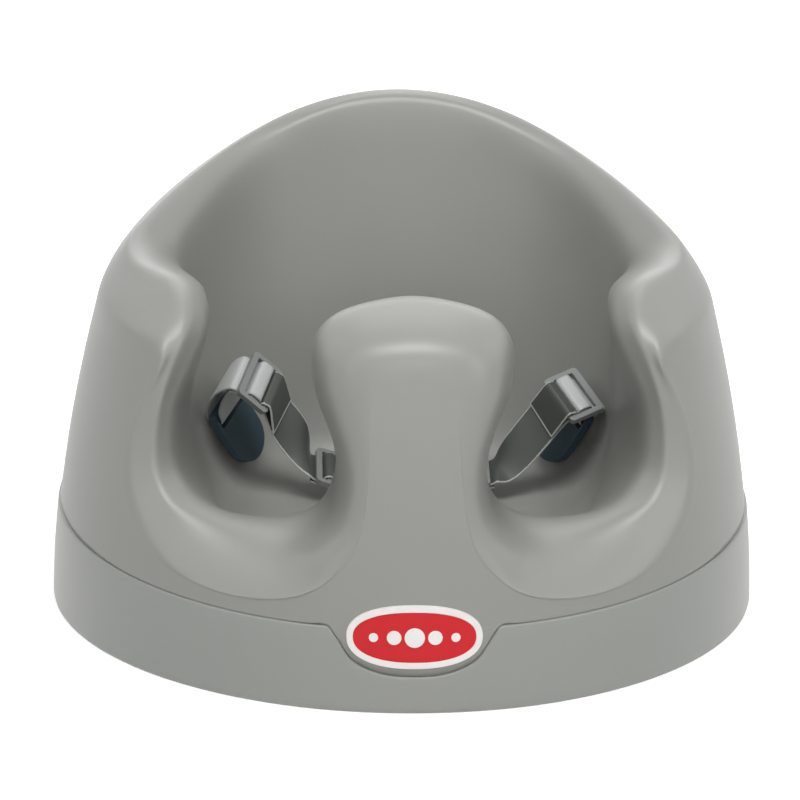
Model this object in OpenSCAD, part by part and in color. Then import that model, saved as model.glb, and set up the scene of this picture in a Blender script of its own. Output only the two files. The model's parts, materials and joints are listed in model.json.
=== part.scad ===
// Baby floor seat: a moulded foam bucket seat with a pommel between the legs, on a low base,
// with a three-point waist harness. Millimetres, +Z up, +Y towards the back of the seat.
// The origin is on the floor, under the middle of the base.

/* [Overall] */
// Width of the base across the arms
seat_w = 380; // [340:1:420]
// Depth of the base from front to back
seat_d = 365; // [330:1:400]
// Height of the top of the backrest
back_h = 246; // [230:1:280]
// Height of the arms
arm_h = 188; // [176:1:204]
// Height of the pommel between the legs
pommel_h = 193; // [176:1:210]
// Height of the saddle under each thigh
saddle_h = 76; // [70:1:86]
// Height of the seat floor inside the bucket
floor_h = 44; // [38:1:52]

/* [Foam skin] */
// How far the sides have leaned in at 100 mm up
side_lean = 11; // [6:0.5:15]
// How far the back has leaned in at 100 mm up
back_lean = 7; // [4:0.5:12]
// Power of the lean: 1 is a straight slope, more curves inwards higher up
lean_power = 1.7; // [1.3:0.1:2.2]
// Step of the foam skin inside the skin of the base, at the seam
skin_step = 1.0; // [0:0.1:3]
// Width of the bucket inside, at elbow height
bucket_w = 232; // [216:1:240]
// Front of the bucket inside, measured from the middle
bucket_front = 84; // [76:1:90]
// Back of the bucket inside, measured from the middle
bucket_back = 104; // [94:1:114]

/* [Base] */
// Height of the seam between base and foam, at mid depth
seam_h = 54; // [46:1:58]
// How much higher the seam is at the back than at the front
seam_rise = 22; // [10:1:28]
// Width of the tongue of foam that dips into the base at the front
tongue_w = 76; // [70:1:96]
// Depth of that tongue below the seam
tongue_drop = 24; // [16:1:26]
// Wall of the base ring
ring_wall = 5; // [3.5:0.5:8]
// Width of the flange under the base ring
flange_w = 14; // [10:1:20]
// Thickness of the flange and of the foot pads
flange_t = 3; // [2.5:0.5:4]
// Thickness of the base plate
plate_t = 4; // [3:0.5:5]
// Height of the underside of the foam plug inside the base
plug_z = 13.5; // [11:0.5:15]
// Clearance between the base pieces and the foam
seat_gap = 0.3; // [0.2:0.05:0.6]

/* [Fixings under the base] */
// Number of screws that hold the foam to the base plate
screw_count = 6; // [4:1:8]
// Radius of the circle that the screws lie on
screw_ring_r = 105; // [90:1:115]
// Thread diameter of the base screws
screw_d = 5; // [4:0.5:6]
// Length of the base screws under the head
screw_len = 20; // [16:1:24]
// Diameter of the moulded-in threaded bush
bush_d = 9; // [8:0.5:12]
// Diameter of a foot pad
pad_d = 34; // [26:1:40]
// Distance of each foot pad in from the side of the base
pad_in_x = 78; // [72:1:95]
// Distance of each foot pad in from the front or back of the base
pad_in_y = 82.5; // [76:0.5:98]

/* [Badge] */
// Width of the oval badge plate
badge_w = 67.2; // [56:1:70]
// Height of the oval badge plate
badge_h = 32; // [28:0.5:36]
// Height of the badge centre above the floor
badge_z = 40; // [38:0.5:43]
// Thickness of the badge plate proud of the foam
badge_t = 2.2; // [1.6:0.1:3]
// Width of the white border around the coloured field
badge_border = 3.2; // [2:0.1:5]

/* [Harness] */
// Width of the webbing
web_w = 25; // [20:0.5:26]
// Thickness of the webbing
web_t = 1.2; // [0.9:0.1:1.6]
// Thickness of the anchor plates
anchor_t = 5; // [4:0.5:6]
// Length of the anchor plates
anchor_len = 40; // [38:1:46]
// Height of the middle of the anchor plates above the seat floor
anchor_up_h = 25.5; // [24:0.5:28]
// Diameter of the barbed stem behind an anchor plate
stem_d = 9; // [7:0.5:11]
// Thickness of the strap adjusters
adjuster_t = 3.4; // [3:0.2:4]
// Width of the end bars of the adjusters
bar_w = 3.6; // [3.2:0.1:4.4]
// Width of their middle bar
mid_bar_w = 5.4; // [4.6:0.2:6.4]
// Width of the slots between those bars
slot_w = 4.0; // [3.9:0.1:4.8]

/* [Buckle] */
// Width of the buckle housing, from tongue to tongue
buckle_w = 62; // [58:1:70]
// Height of the buckle housing, across the webbing
buckle_l = 38; // [34:1:42]
// Thickness of the buckle housing
buckle_t = 13; // [12:0.5:15]
// Wall of the buckle covers
cover_t = 1.8; // [1.5:0.1:2.2]
// Diameter of the release button
button_d = 19; // [16:0.5:21]
// Travel of the release button
button_travel = 3; // [2:0.5:3.5]
// How far a tongue slides out when it is released
tongue_travel = 22; // [20:1:26]
// Running gap between moving plastic pieces
run_gap = 0.3; // [0.2:0.05:0.4]

/* [Hidden] */

foam_colour = [0.61, 0.62, 0.60];
base_colour = [0.63, 0.64, 0.62];
strap_colour = [0.25, 0.26, 0.25];
web_colour = [0.72, 0.73, 0.73];
plastic_colour = [0.50, 0.51, 0.50];
anchor_colour = [0.16, 0.23, 0.27];

half_w = seat_w / 2;
half_d = seat_d / 2;

// ---------- small helpers ----------

function mix(a, b, t) = a + (b - a) * t;
function smooth(t) = let (c = min(1, max(0, t))) c * c * (3 - 2 * c);
function unit(v) = v / norm(v);
// The part of v that is square to n, as a unit vector
function square_to(v, n) = unit(v - (v * n) * n);

// Puts children in a frame: x along, y across, z out of the surface
module in_frame(p, along, across) {
  x = unit(along);
  y = square_to(across, x);
  z = cross(x, y);
  multmatrix([[x[0], y[0], z[0], p[0]], [x[1], y[1], z[1], p[1]], [x[2], y[2], z[2], p[2]], [0, 0, 0, 1]])
    children();
}

// Rounded rectangle about the origin
module slab_outline(w, h, r) {
  square([w - 2 * r, h], center = true);
  square([w, h - 2 * r], center = true);
  for (sx = [-1, 1], sy = [-1, 1]) translate([sx * (w / 2 - r), sy * (h / 2 - r)]) circle(r, $fn = 48);
}

// ---------- the form of the foam seat ----------

// Point at angle th from the front and height z, moved in from the leaning outer skin of the base by d
function inside(th, z, d) =
  let (lean = mix(side_lean, back_lean, smooth(-cos(th))) * pow(z / 100, lean_power))
  [(half_w - lean - d) * sin(th), -(half_d - lean - d) * cos(th), z];
// Point on the outer skin of the foam
function skin(th, z) = inside(th, z, skin_step);
// Height of the seam under a point of the skin, with the tongue at the front
function seam(x, y) =
  seam_h + seam_rise * y / seat_d
  - (y < 0 ? tongue_drop * pow(1 - pow(min(1, abs(x) / (tongue_w / 2)), 2.4), 0.45) : 0);
function seam_at(th) = let (p = skin(th, seam_h)) seam(p[0], p[1]);
// Superellipse power
function rounded(c, n) = sign(c) * pow(abs(c), 2 / n);
// Point on the wall of the bucket: a share of its width, at angle th and height z
function bucket(th, share, z, n = 2.2) =
  [share * bucket_w / 2 * rounded(sin(th), n),
   (bucket_back - bucket_front) / 2 - share * (bucket_front + bucket_back) / 2 * rounded(cos(th), n), z];

// The stations go round from the pommel over the saddle and the arm to the backrest.
// They are drawn for a seat of this width, depth and these heights, and scaled to the real ones.
drawn_w = 380;
drawn_d = 365;
drawn_floor = 44;
drawn_saddle = 76;
drawn_arm = 188;
drawn_pommel = 193;
drawn_back = 246;
// Each station: angle at the seam; angle and height where the outer skin ends;
// crest of the rim; inner edge of the rim; angle and height where the bucket wall begins.
STATIONS = [
  [0, [0, 171], [0, -112, 193], [0, -76, 180], [0, 118]],
  [2, [3.4, 170], [17, -112, 191], [15, -76, 178], [4, 118]],
  [3.8, [6.6, 165], [40, -108, 184.5], [30, -78, 170], [8, 116]],
  [5.2, [7.75, 155], [51.5, -104, 167], [42, -80, 154], [11, 112]],
  [6.4, [7.75, 142], [49, -104, 142], [42, -82, 136], [13, 106]],
  [7.6, [7.7, 126], [41, -108, 122], [38, -84, 116], [15, 98]],
  [9, [7.9, 108], [38, -110, 104], [38, -86, 98], [17, 88]],
  [11.4, [9.2, 87], [41, -114, 88], [43, -88, 82], [20, 70]],
  [15.6, [13.2, 68], [53, -120, 79], [53, -92, 75], [27, 60]],
  [22, [19.6, 57], [69.5, -124, 76], [67, -96, 73], [36, 55]],
  [29, [29, 54.5], [88, -125, 77], [80.5, -101, 75], [45, 54]],
  [38, [37.5, 58], [104.5, -121, 80.5], [92.5, -103, 78], [53, 56]],
  [46, [45, 68], [117, -117, 85], [104, -101, 82.5], [60, 61]],
  [52, [50.5, 82], [124.5, -111, 91], [112.5, -96, 89], [67, 69]],
  [56, [53.5, 99], [129, -104, 102], [119, -91.5, 99.5], [72, 78]],
  [59, [54, 119], [129, -101, 118.5], [120.5, -90.5, 115.5], [76, 86]],
  [61, [52.5, 138], [126, -100.5, 136.5], [118.5, -90, 132], [80, 93]],
  [63, [50, 153], [119, -98, 155], [111.5, -86.5, 148.5], [83, 99]],
  [66, [51, 163], [112, -86, 173.5], [103.5, -71, 162.5], [86, 103]],
  [71, [57, 167], [117.5, -64, 186], [103, -46, 173], [89, 106]],
  [78, [66, 168], [127.5, -43, 188], [106, -23.5, 173.5], [93, 108]],
  [86, [78, 168], [138, -25, 188], [110, -5, 172], [98, 110]],
  [94, [90, 169], [144, -6, 189], [118, 11, 174], [104, 112]],
  [103, [101, 172], [145, 15, 192], [122, 29, 178], [111, 115]],
  [113, [112, 180], [136, 38, 198], [115, 48, 188], [119, 119]],
  [125, [124, 191], [120, 66, 208], [101, 73, 202], [129, 124]],
  [138, [137, 205], [96, 94, 221], [80, 96, 215], [141, 130]],
  [152, [151, 218], [67, 118, 234], [54, 112, 229], [154, 135]],
  [166, [166, 228], [34, 131, 243], [28, 119, 238], [167, 138]],
  [180, [180, 232], [0, 136, 246], [0, 121, 241], [180, 140]],
];
last_station = len(STATIONS) - 1;
// Stations up to this one belong to the pommel
pommel_stations = 8;

// Heights above the seam follow the named heights of the seat
function height(z, i) =
  lookup(z, i <= pommel_stations
    ? [[0, 0], [drawn_floor, floor_h], [drawn_saddle, saddle_h], [drawn_pommel, pommel_h]]
    : [[0, 0], [drawn_floor, floor_h], [drawn_saddle, saddle_h], [drawn_arm, arm_h], [drawn_back, back_h]]);
function to_size(p, i) = [p[0] * seat_w / drawn_w, p[1] * seat_d / drawn_d, height(p[2], i)];
// A station as one flat list, mirrored for the left half and carried on round the seat
function right_half(i) =
  let (s = STATIONS[i], t = to_size(s[2], i), k = to_size(s[3], i))
  [s[0], s[1][0], height(s[1][1], i), t[0], t[1], t[2], k[0], k[1], k[2], s[4][0], height(s[4][1], i)];
function mirrored(s) = [-s[0], -s[1], s[2], -s[3], s[4], s[5], -s[6], s[7], s[8], -s[9], s[10]];
function turned(s, k) = [for (c = [0:10]) s[c] + (c == 0 || c == 1 || c == 9 ? 360 * k : 0)];
function station(i) =
  let (n = 2 * last_station, k = (i + n) % n, lap = floor(i / n))
  k <= last_station ? turned(right_half(k), lap) : turned(mirrored(right_half(n - k)), lap + 1);

// Cubic B-spline through the list p of four controls
function spline(p, t) =
  [pow(1 - t, 3), 3 * t * t * t - 6 * t * t + 4, -3 * t * t * t + 3 * t * t + 3 * t + 1, t * t * t] / 6 * p;
// Moves a control outwards so that the spline passes close to it
function drawn_out(a, b, c, pull) = b + pull * (b - (a + 4 * b + c) / 6);

controls = [for (i = [-1:2 * last_station + 2]) drawn_out(station(i - 1), station(i), station(i + 1), 1)];
function around(u) = let (i = floor(u)) spline([for (k = [0:3]) controls[i + k]], u - i);

// Point of a quarter turn from a to b, going sideways first and then back
function turn(a, b, angle, t) =
  [mix(a[0], b[0], sin(angle)), mix(a[1], b[1], 1 - cos(angle)), mix(a[2], b[2], t)];
// Controls of one section of the foam, from the seam up the skin, over the rim and into the bucket
function section_controls(u) =
  let (s = around(u), crest = [s[3], s[4], s[5]], edge = [s[6], s[7], s[8]],
       z0 = seam_at(s[0]) + seat_gap,
       wall = [for (t = [0, 0.25, 0.5, 0.75]) skin(mix(s[0], s[1], t * t * t), mix(z0, s[2], t))],
       top = skin(s[1], s[2]), below = unit(wall[3] - top) * min(12, norm(top - wall[0]) * 0.2),
       deep = bucket(s[9], 1, s[10]), pommel = smooth((cos(s[0]) - 0.93) / 0.04),
       shoulder = [for (t = [1, 2] / 3)
         mix(mix(top, crest, t), turn(top, crest, 90 * t, t), pommel) + [0, 0, norm(crest - top) * 0.055]])
  [each wall, top + below, top,
   each shoulder, crest,
   mix(crest, edge, 0.5) + [0, 0, norm(edge - crest) * 0.08], edge, mix(edge, deep, 0.33), deep,
   bucket(s[9], 0.94, mix(floor_h, s[10], 0.42)), bucket(s[9], 0.84, floor_h + 4),
   bucket(s[9], 0.62, floor_h), bucket(s[9], 0.22, floor_h)];

// Smooth open curve close to the controls c, with m points for each span
function smooth_curve(c, m) =
  let (e = len(c) - 1,
       inner = [for (i = [0:e]) i == 0 || i == e ? c[i] : drawn_out(c[i - 1], c[i], c[i + 1], 0.8)],
       all = [2 * c[0] - inner[1], each inner, 2 * c[e] - inner[e - 1]])
  [for (i = [0:e - 1], k = [0:m - 1]) spline([all[i], all[i + 1], all[i + 2], all[i + 3]], k / m), c[e]];

// Columns round the seat, and points per span up each section
columns = 4 * last_station;
span_points = 2;
column_u = [for (i = [0:columns - 1]) i * 2 * last_station / columns];
column_angle = [for (u = column_u) around(u)[0]];

// The plug under the foam goes down inside the base ring
plug_inset = ring_wall + 2 * seat_gap;
foam_columns = [for (i = [0:columns - 1])
  let (c = smooth_curve(section_controls(column_u[i]), span_points), th = column_angle[i])
  [inside(th, plug_z, plug_inset + 6), inside(th, plug_z + 3, plug_inset + 1),
   inside(th, c[0][2], plug_inset), each c]];
foam_rows = len(foam_columns[0]);
bucket_middle = [0, (bucket_back - bucket_front) / 2, floor_h];

// Triangles of a closed skin: one point below, rings of n points, one point above
function ring_point(r, i, n) = 1 + r * n + i % n;
function skin_faces(rows, n) =
  let (last = 1 + rows * n)
  [for (i = [0:n - 1]) [0, ring_point(0, i, n), ring_point(0, i + 1, n)],
   for (r = [0:rows - 2], i = [0:n - 1])
     each [[ring_point(r, i, n), ring_point(r + 1, i + 1, n), ring_point(r, i + 1, n)],
           [ring_point(r, i, n), ring_point(r + 1, i, n), ring_point(r + 1, i + 1, n)]],
   for (i = [0:n - 1]) [last, ring_point(rows - 1, i + 1, n), ring_point(rows - 1, i, n)]];

// Foam seat: one closed skin from the plug, up the outside, over the rim and down into the bucket
module seat_body() {
  points = [[0, 0, plug_z],
            for (r = [0:foam_rows - 1], i = [0:columns - 1]) foam_columns[i][r],
            bucket_middle];
  color(foam_colour) polyhedron(points, skin_faces(foam_rows, columns), convexity = 8);
}

// ---------- base ----------

// Closed tube through sections of m points each; the sections go round in a loop when looped is true.
// Opposite sides are divided along the same diagonal, so that a thin twisted band stays open inside.
function tube_faces(n, m, looped) =
  [for (i = [0:(looped ? n : n - 1) - 1], k = [0:m - 1])
     let (a = i * m + k, b = i * m + (k + 1) % m, c = (i + 1) % n * m + (k + 1) % m, d = (i + 1) % n * m + k)
     each 2 * k < m ? [[a, b, c], [a, c, d]] : [[a, b, d], [b, c, d]],
   if (!looped) let (e = (n - 1) * m) for (k = [1:m - 2]) each [[0, k + 1, k], [e, e + k, e + k + 1]]];

// Base ring: an outer wall up to the seam, and a flange that the base plate sits on
ring_edge = 1.5;
function ring_section(th) =
  let (top = seam_at(th))
  [inside(th, 0, ring_edge), inside(th, ring_edge, 0), inside(th, mix(ring_edge, top, 0.5), 0),
   inside(th, top - ring_edge / 2, 0), inside(th, top, ring_edge / 2), inside(th, top, ring_wall),
   inside(th, flange_t, ring_wall), inside(th, flange_t, flange_w), inside(th, 0, flange_w)];
module base_ring() {
  sections = [for (th = column_angle) ring_section(th)];
  points = [for (s = sections) each s];
  color(base_colour) polyhedron(points, tube_faces(columns, len(sections[0]), true), convexity = 6);
}

// Outline of the base at height z, moved in by d
module base_outline(z, d) {
  polygon([for (k = [0:95]) let (p = inside(k * 360 / 96, z, d)) [p[0], p[1]]]);
}
screw_places = [for (k = [0:screw_count - 1])
  screw_ring_r * [sin((k + 0.5) * 360 / screw_count), cos((k + 0.5) * 360 / screw_count), 0]];
module at_screws() {
  for (p = screw_places) translate(p) children();
}
screw_head_d = screw_d * 1.9;
screw_head_t = screw_d * 0.56;
screw_seat_z = flange_t + plate_t;
pad_stud_d = 7;
pad_x = half_w - pad_in_x;
pad_y = half_d - pad_in_y;
rib_t = 2.4;
rib_top = plug_z - 1.2;
boss_d = screw_d + 11;

plate_in = ring_wall + seat_gap + plate_t * 0.1;
// Base plate: a ribbed plate on the flange, with a boss up to the foam at each screw
module base_plate() {
  hub_r = 30;
  color(plastic_colour) difference() {
    union() {
      translate([0, 0, flange_t]) linear_extrude(plate_t) base_outline(flange_t, plate_in);
      at_screws() translate([0, 0, flange_t]) cylinder(d = boss_d, h = plug_z - flange_t, $fn = 48);
      translate([0, 0, flange_t]) difference() {
        cylinder(r = hub_r, h = rib_top - flange_t, $fn = 72);
        translate([0, 0, plate_t]) cylinder(r = hub_r - rib_t, h = rib_top, $fn = 72);
      }
      for (k = [0:11]) rotate(k * 30)
        translate([hub_r - rib_t / 2, -rib_t / 2, flange_t])
          cube([screw_ring_r * 1.35 - hub_r, rib_t, rib_top - flange_t]);
    }
    at_screws() {
      translate([0, 0, -1]) cylinder(d = screw_d + 0.6, h = plug_z + 2, $fn = 32);
      translate([0, 0, -1]) cylinder(d = screw_head_d + 1, h = flange_t + 1 + plate_t * 0.7, $fn = 48);
    }
    for (sx = [-1, 1], sy = [-1, 1]) translate([sx * pad_x, sy * pad_y, -1])
      cylinder(d = pad_stud_d + 0.3, h = 30, $fn = 32);
  }
}

// Base screw: pan head with a cross recess, and a shank up into the bush
module base_screws() {
  color("silver") at_screws() translate([0, 0, screw_seat_z - plate_t * 0.3]) difference() {
    union() {
      translate([0, 0, -screw_head_t]) cylinder(d = screw_head_d, h = screw_head_t, $fn = 48);
      cylinder(d = screw_d, h = screw_len, $fn = 32);
    }
    for (a = [0, 90]) rotate(a)
      translate([-screw_head_d * 0.3, -screw_d * 0.1, -screw_head_t - 1])
        cube([screw_head_d * 0.6, screw_d * 0.2, 2.2]);
  }
}

// Threaded bush moulded into the foam over each screw, with a flange at the underside of the foam
bush_flange_t = 1.2;
module screw_bushes() {
  bush_len = screw_seat_z + screw_len - plug_z;
  color("goldenrod") at_screws() translate([0, 0, plug_z]) difference() {
    union() {
      cylinder(d = bush_d, h = bush_len, $fn = 48);
      cylinder(d = bush_d + 5, h = bush_flange_t, $fn = 48);
    }
    translate([0, 0, -1]) cylinder(d = screw_d + 0.1, h = bush_len + 2, $fn = 32);
  }
}

// Non-slip foot pad: a rubber disc under the plate, with a stud pushed through it
module foot_pad(side, end) {
  stud_len = plate_t + 1.5;
  color("dimgray") translate([side * pad_x, end * pad_y, 0]) {
    cylinder(d = pad_d, h = flange_t, $fn = 72);
    translate([0, 0, flange_t]) cylinder(d = pad_stud_d, h = stud_len, $fn = 32);
  }
}
module foot_pad_front_left() foot_pad(-1, -1);
module foot_pad_front_right() foot_pad(1, -1);
module foot_pad_rear_left() foot_pad(-1, 1);
module foot_pad_rear_right() foot_pad(1, 1);

// ---------- badge ----------

// Radius of the front skin seen from above, and the slope of the skin at the badge
front_r = half_w * half_w / half_d;
badge_sink = 0.6;
badge_recess = 0.7;
function superoval(w, h) =
  [for (k = [0:71]) [w / 2 * rounded(cos(k * 5), 2.3), h / 2 * rounded(sin(k * 5), 2.3)]];
badge_foot = inside(0, badge_z, skin_step);
badge_slope = atan(side_lean * lean_power / 100 * pow(badge_z / 100, lean_power - 1));
// Layer of the child outline, between two distances out of the skin
module badge_layer(from, to) {
  translate(badge_foot) rotate([-badge_slope, 0, 0]) intersection() {
    rotate([90, 0, 0]) translate([0, 0, -20]) linear_extrude(40) children();
    translate([0, front_r, -badge_h]) difference() {
      cylinder(r = front_r + to, h = 2 * badge_h, $fn = 180);
      translate([0, 0, -1]) cylinder(r = front_r + from, h = 2 * badge_h + 2, $fn = 180);
    }
  }
}
field_w = badge_w - 2 * badge_border;
field_h = badge_h - 2 * badge_border;
field_top = badge_t - 0.15;
// White oval plate with a shallow recess for the coloured field
module badge_plate() {
  color("white") difference() {
    badge_layer(-badge_sink, badge_t) polygon(superoval(badge_w, badge_h));
    badge_layer(badge_t - badge_recess, badge_t + 5) polygon(superoval(field_w, field_h));
  }
}
module badge_field() {
  color([0.85, 0.17, 0.23]) badge_layer(badge_t - badge_recess, field_top)
    polygon(superoval(field_w - 0.1, field_h - 0.1));
}
// Row of plain round dots, largest in the middle
dot_pitch = field_w / 6;
dot_sizes = [4.6, 7.2, 10, 7.2, 4.6];
module badge_dots() {
  color("white") for (k = [0:4])
    badge_layer(field_top, badge_t + 0.25)
      translate([(k - 2) * dot_pitch, 0]) circle(d = dot_sizes[k], $fn = 48);
}

// ---------- straps ----------

// Band of webbing along points p, with the width of the webbing along the vectors w
module band(p, w, looped) {
  n = len(p);
  sections = [for (i = [0:n - 1])
    let (before = looped ? p[(i + n - 1) % n] : p[max(0, i - 1)],
         after = looped ? p[(i + 1) % n] : p[min(n - 1, i + 1)],
         across = unit(w[i]) * web_w / 2, out = unit(cross(across, after - before)) * web_t / 2)
    each [p[i] - across - out, p[i] + across - out, p[i] + across + out, p[i] - across + out]];
  polyhedron(sections, tube_faces(n, 4, looped), convexity = 6);
}
// Smooth closed curve close to the controls c, with m points for each span
function smooth_loop(c, m) =
  let (n = len(c), inner = [for (i = [0:n - 1]) drawn_out(c[(i + n - 1) % n], c[i], c[(i + 1) % n], 0.8)])
  [for (i = [0:n - 1], k = [0:m - 1]) spline([for (j = [-1:2]) inner[(i + j + n) % n]], k / m)];
// Points and width vectors run together through the same curve
function places(c) = [for (q = c) [q[0], q[1], q[2]]];
function widths(c) = [for (q = c) [q[3], q[4], q[5]]];
function joined(p, w) = [each p, each w];

// The pieces of each side are drawn on the left, and the right ones are mirrored.
// Side 0 is the left and side 1 the right, where the adjuster lies a little lower on its strap.
// Anchor plate: middle of its back face, direction out of the wall, and its long direction
anchor_out = unit([0.76, -0.55, 0.30]);
anchor_angle = -117;
anchor_off = 7.6;
anchor_at = bucket(anchor_angle, 0.93, floor_h + anchor_up_h) + anchor_off * anchor_out;
// The plate swings on its stem towards the pull of the strap
anchor_swing = 25;
anchor_up = let (level = square_to([0, 0, 1], anchor_out))
  cos(anchor_swing) * level + sin(anchor_swing) * cross(anchor_out, level);
anchor_side = cross(anchor_out, anchor_up);
anchor_bar = 5;
anchor_slot = 5;
slot_up = anchor_len / 2 - anchor_bar - anchor_slot / 2;
// Strap adjuster: its middle from the anchor, the width of the webbing, and the direction of the strap
adjuster_at = [for (p = [[13.2, -26.4, 35.1], [-2.3, -26.4, 28.1]]) anchor_at + p];
adjuster_side = [unit([-0.29, -0.825, -0.48]), unit([-0.46, -0.74, -0.495])];
adjuster_along = [square_to([0.70, 0.05, -0.71], adjuster_side[0]),
                  square_to([0.89, -0.36, -0.28], adjuster_side[1])];
adjuster_out = [for (s = [0, 1]) cross(adjuster_side[s], adjuster_along[s])];
// Buckle: its middle, its direction from front to back, and the direction out of its face
buckle_at = [0, 18, floor_h + 12.5];
buckle_along = unit([0, 0.97, 0.24]);
buckle_out = cross([1, 0, 0], buckle_along);
// The webbing frame of a tongue starts outside the housing and turns up out of the plane of the buckle
frame_start = buckle_w / 2 + 1;
frame_tilt = [20, 8];
frame_at = buckle_at + [-frame_start, 0, 0];
function frame_along(s) = -cos(frame_tilt[s]) * [1, 0, 0] + sin(frame_tilt[s]) * buckle_out;
function frame_out(s) = cos(frame_tilt[s]) * buckle_out + sin(frame_tilt[s]) * [1, 0, 0];

// Points given along and out of each of these pieces
function by_anchor(q) = joined(anchor_at + (slot_up + q[0]) * anchor_up + q[1] * anchor_out, anchor_side);
function by_adjuster(s, q) =
  joined(adjuster_at[s] + q[0] * adjuster_along[s] + q[1] * adjuster_out[s], adjuster_side[s]);
function by_frame(s, q) = joined(frame_at + q[0] * frame_along(s) + q[1] * frame_out(s), -buckle_along);
adjuster_end = mid_bar_w / 2 + slot_w + bar_w;

// Loop of webbing between the anchor plate and the middle bar of the adjuster:
// over the bar, under the end bar, in front of the anchor, back through its slot, and up behind it
over_bar = adjuster_t / 2 + web_t / 2 + 0.5;
loop_front = [[[-1.2, -17.5, 33], [-2.6, -11, 26.5]], [[-10.6, -15.2, 23.6], [-7.2, -10.6, 22.3]]];
loop_behind = [[[-10.8, -5.1, 21.8], [-6.9, -16.5, 34]], [[-11.8, -5.5, 19.5], [-14, -11.5, 24.8]]];
module anchor_loop(s) {
  half = mid_bar_w / 2 + web_t / 2 + 0.5;
  middle = mix(adjuster_side[s], anchor_side, 0.4);
  c = [for (q = [[0, over_bar + 0.05], [half - 1.3, over_bar], [half + 0.1, over_bar - 1.4],
                 [half, -over_bar + 1.2], [half - 1.2, -over_bar - 0.9], [-1, -over_bar - 1.9],
                 [-7.8, -over_bar - 2], [-10.2, -over_bar - 3], [-11.2, -over_bar - 5.4]]) by_adjuster(s, q),
       joined(anchor_at + loop_front[s][0], middle), joined(anchor_at + loop_front[s][1], anchor_side),
       for (q = [[7, anchor_t + 1.7], [3, anchor_t + 1.3], [0.6, anchor_t - 0.2], [0.5, 1],
                 [1.6, -1.3], [5.4, -1.9]]) by_anchor(q),
       joined(anchor_at + loop_behind[s][0], anchor_side), joined(anchor_at + loop_behind[s][1], middle),
       for (q = [[-13, -over_bar - 3.6], [-11.4, -over_bar - 1], [-7.8, -over_bar - 0.2],
                 [-half - 1.4, -over_bar + 0.3], [-half - 0.2, -over_bar + 1.8], [-half - 0.1, over_bar - 1.4],
                 [-half + 1.3, over_bar]]) by_adjuster(s, q)];
  curve = smooth_loop(c, 2);
  color(web_colour) band(places(curve), widths(curve), true);
}

// Lap strap: from its hem, round the end bar of the adjuster, down to the tongue, round its bar and back.
// On its way down it lies at a share of the distance from the adjuster to the tongue, with a sag.
LAP_WAY = [[[0.39, [-6.9, 2.2, -0.2], [-0.39, -0.73, -0.56]],
            [0.65, [-8.4, 1.6, 0.1], [-0.40, -0.62, -0.67]]],
           [[0.34, [-4.8, 2.6, 0.1], [-0.44, -0.70, -0.56]],
            [0.64, [-11.9, 1.1, -0.5], [-0.35, -0.64, -0.68]],
            [0.86, [-16.7, 0.4, -0.4], [-0.2, -0.76, -0.62]]]];
function lap_way(s, k) =
  let (v = LAP_WAY[s][k]) joined(mix(adjuster_at[s], frame_at, v[0]) + v[1], unit(v[2]));
module lap_strap(s) {
  low = mid_bar_w / 2 + slot_w - web_t / 2 - 0.5;
  under = by_adjuster(s, [adjuster_end + 0.6, -over_bar + 0.2]);
  fold = lap_way(s, 0);
  side = unit(LAP_WAY[s][0][2]);
  lift = 1.9 * unit(cross(side, [for (k = [0:2]) fold[k] - under[k]]));
  hem = fold + joined(lift, [0, 0, 0]);
  above = by_adjuster(s, [adjuster_end, over_bar + 0.35]);
  c = [hem, mix(hem, above, 0.5),
       above,
       for (q = [[adjuster_end - 2.2, over_bar + 0.1], [low + 0.7, over_bar - 0.2],
                 [low, over_bar - 1.3], [low, -over_bar + 1.3],
                 [low + 0.7, -over_bar + 0.2], [adjuster_end - 2.2, -over_bar - 0.1]])
         by_adjuster(s, q),
       under,
       for (k = [0:len(LAP_WAY[s]) - 1]) lap_way(s, k),
       for (q = [[20.5, -0.2], [17.6, -2], [14.5, -2.3], [12.3, -2], [11.3, -0.3], [10.6, 1.6], [8.1, 2.4],
                 [5.7, 1.6], [5.1, 0], [5.1, -1.8], [6.3, -3.5], [9.5, -4], [14, -4], [18, -4]])
         by_frame(s, q)];
  curve = smooth_curve(c, 2);
  color(strap_colour) band(places(curve), widths(curve), false);
}

// ---------- harness fittings ----------

// Anchor plate: rounded below, a slot for the webbing above, and a barbed stem at the back
module anchor() {
  w = web_w + 5;
  stem_reach = 24;
  in_frame(anchor_at, anchor_up, anchor_side) {
    difference() {
      linear_extrude(anchor_t) {
        translate([w / 2 - anchor_len / 2, 0]) circle(d = w, $fn = 96);
        translate([w / 2 - anchor_len / 2, -w / 2]) square([anchor_len - w / 2 - 3, w]);
        translate([anchor_len / 2 - 3, -w / 2 + 3]) square([3, w - 6]);
        for (s = [-1, 1]) translate([anchor_len / 2 - 3, s * (w / 2 - 3)]) circle(3, $fn = 32);
      }
      translate([slot_up, 0, -1]) linear_extrude(anchor_t + 2)
        square([anchor_slot, web_w + 1.2], center = true);
    }
    translate([-stem_down, 0, -stem_reach]) cylinder(d = stem_d, h = stem_reach, $fn = 48);
    for (k = [0:2]) translate([-stem_down, 0, -stem_reach + 3 + 4 * k])
      cylinder(d1 = stem_d, d2 = stem_d + 1.4, h = 2, $fn = 48);
  }
}
// Sleeve for the stem, moulded into the wall of the bucket
stem_down = 5;
sleeve_face = anchor_off - 0.6;
module anchor_sleeve() {
  in_frame(anchor_at, anchor_up, anchor_side) translate([-stem_down, 0, -sleeve_face]) difference() {
    union() {
      translate([0, 0, -22]) cylinder(d = stem_d + 6, h = 22, $fn = 64);
      translate([0, 0, -2]) cylinder(d = stem_d + 14, h = 2, $fn = 72);
    }
    translate([0, 0, -23]) cylinder(d = stem_d + 1.6, h = 24, $fn = 48);
  }
}

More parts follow.
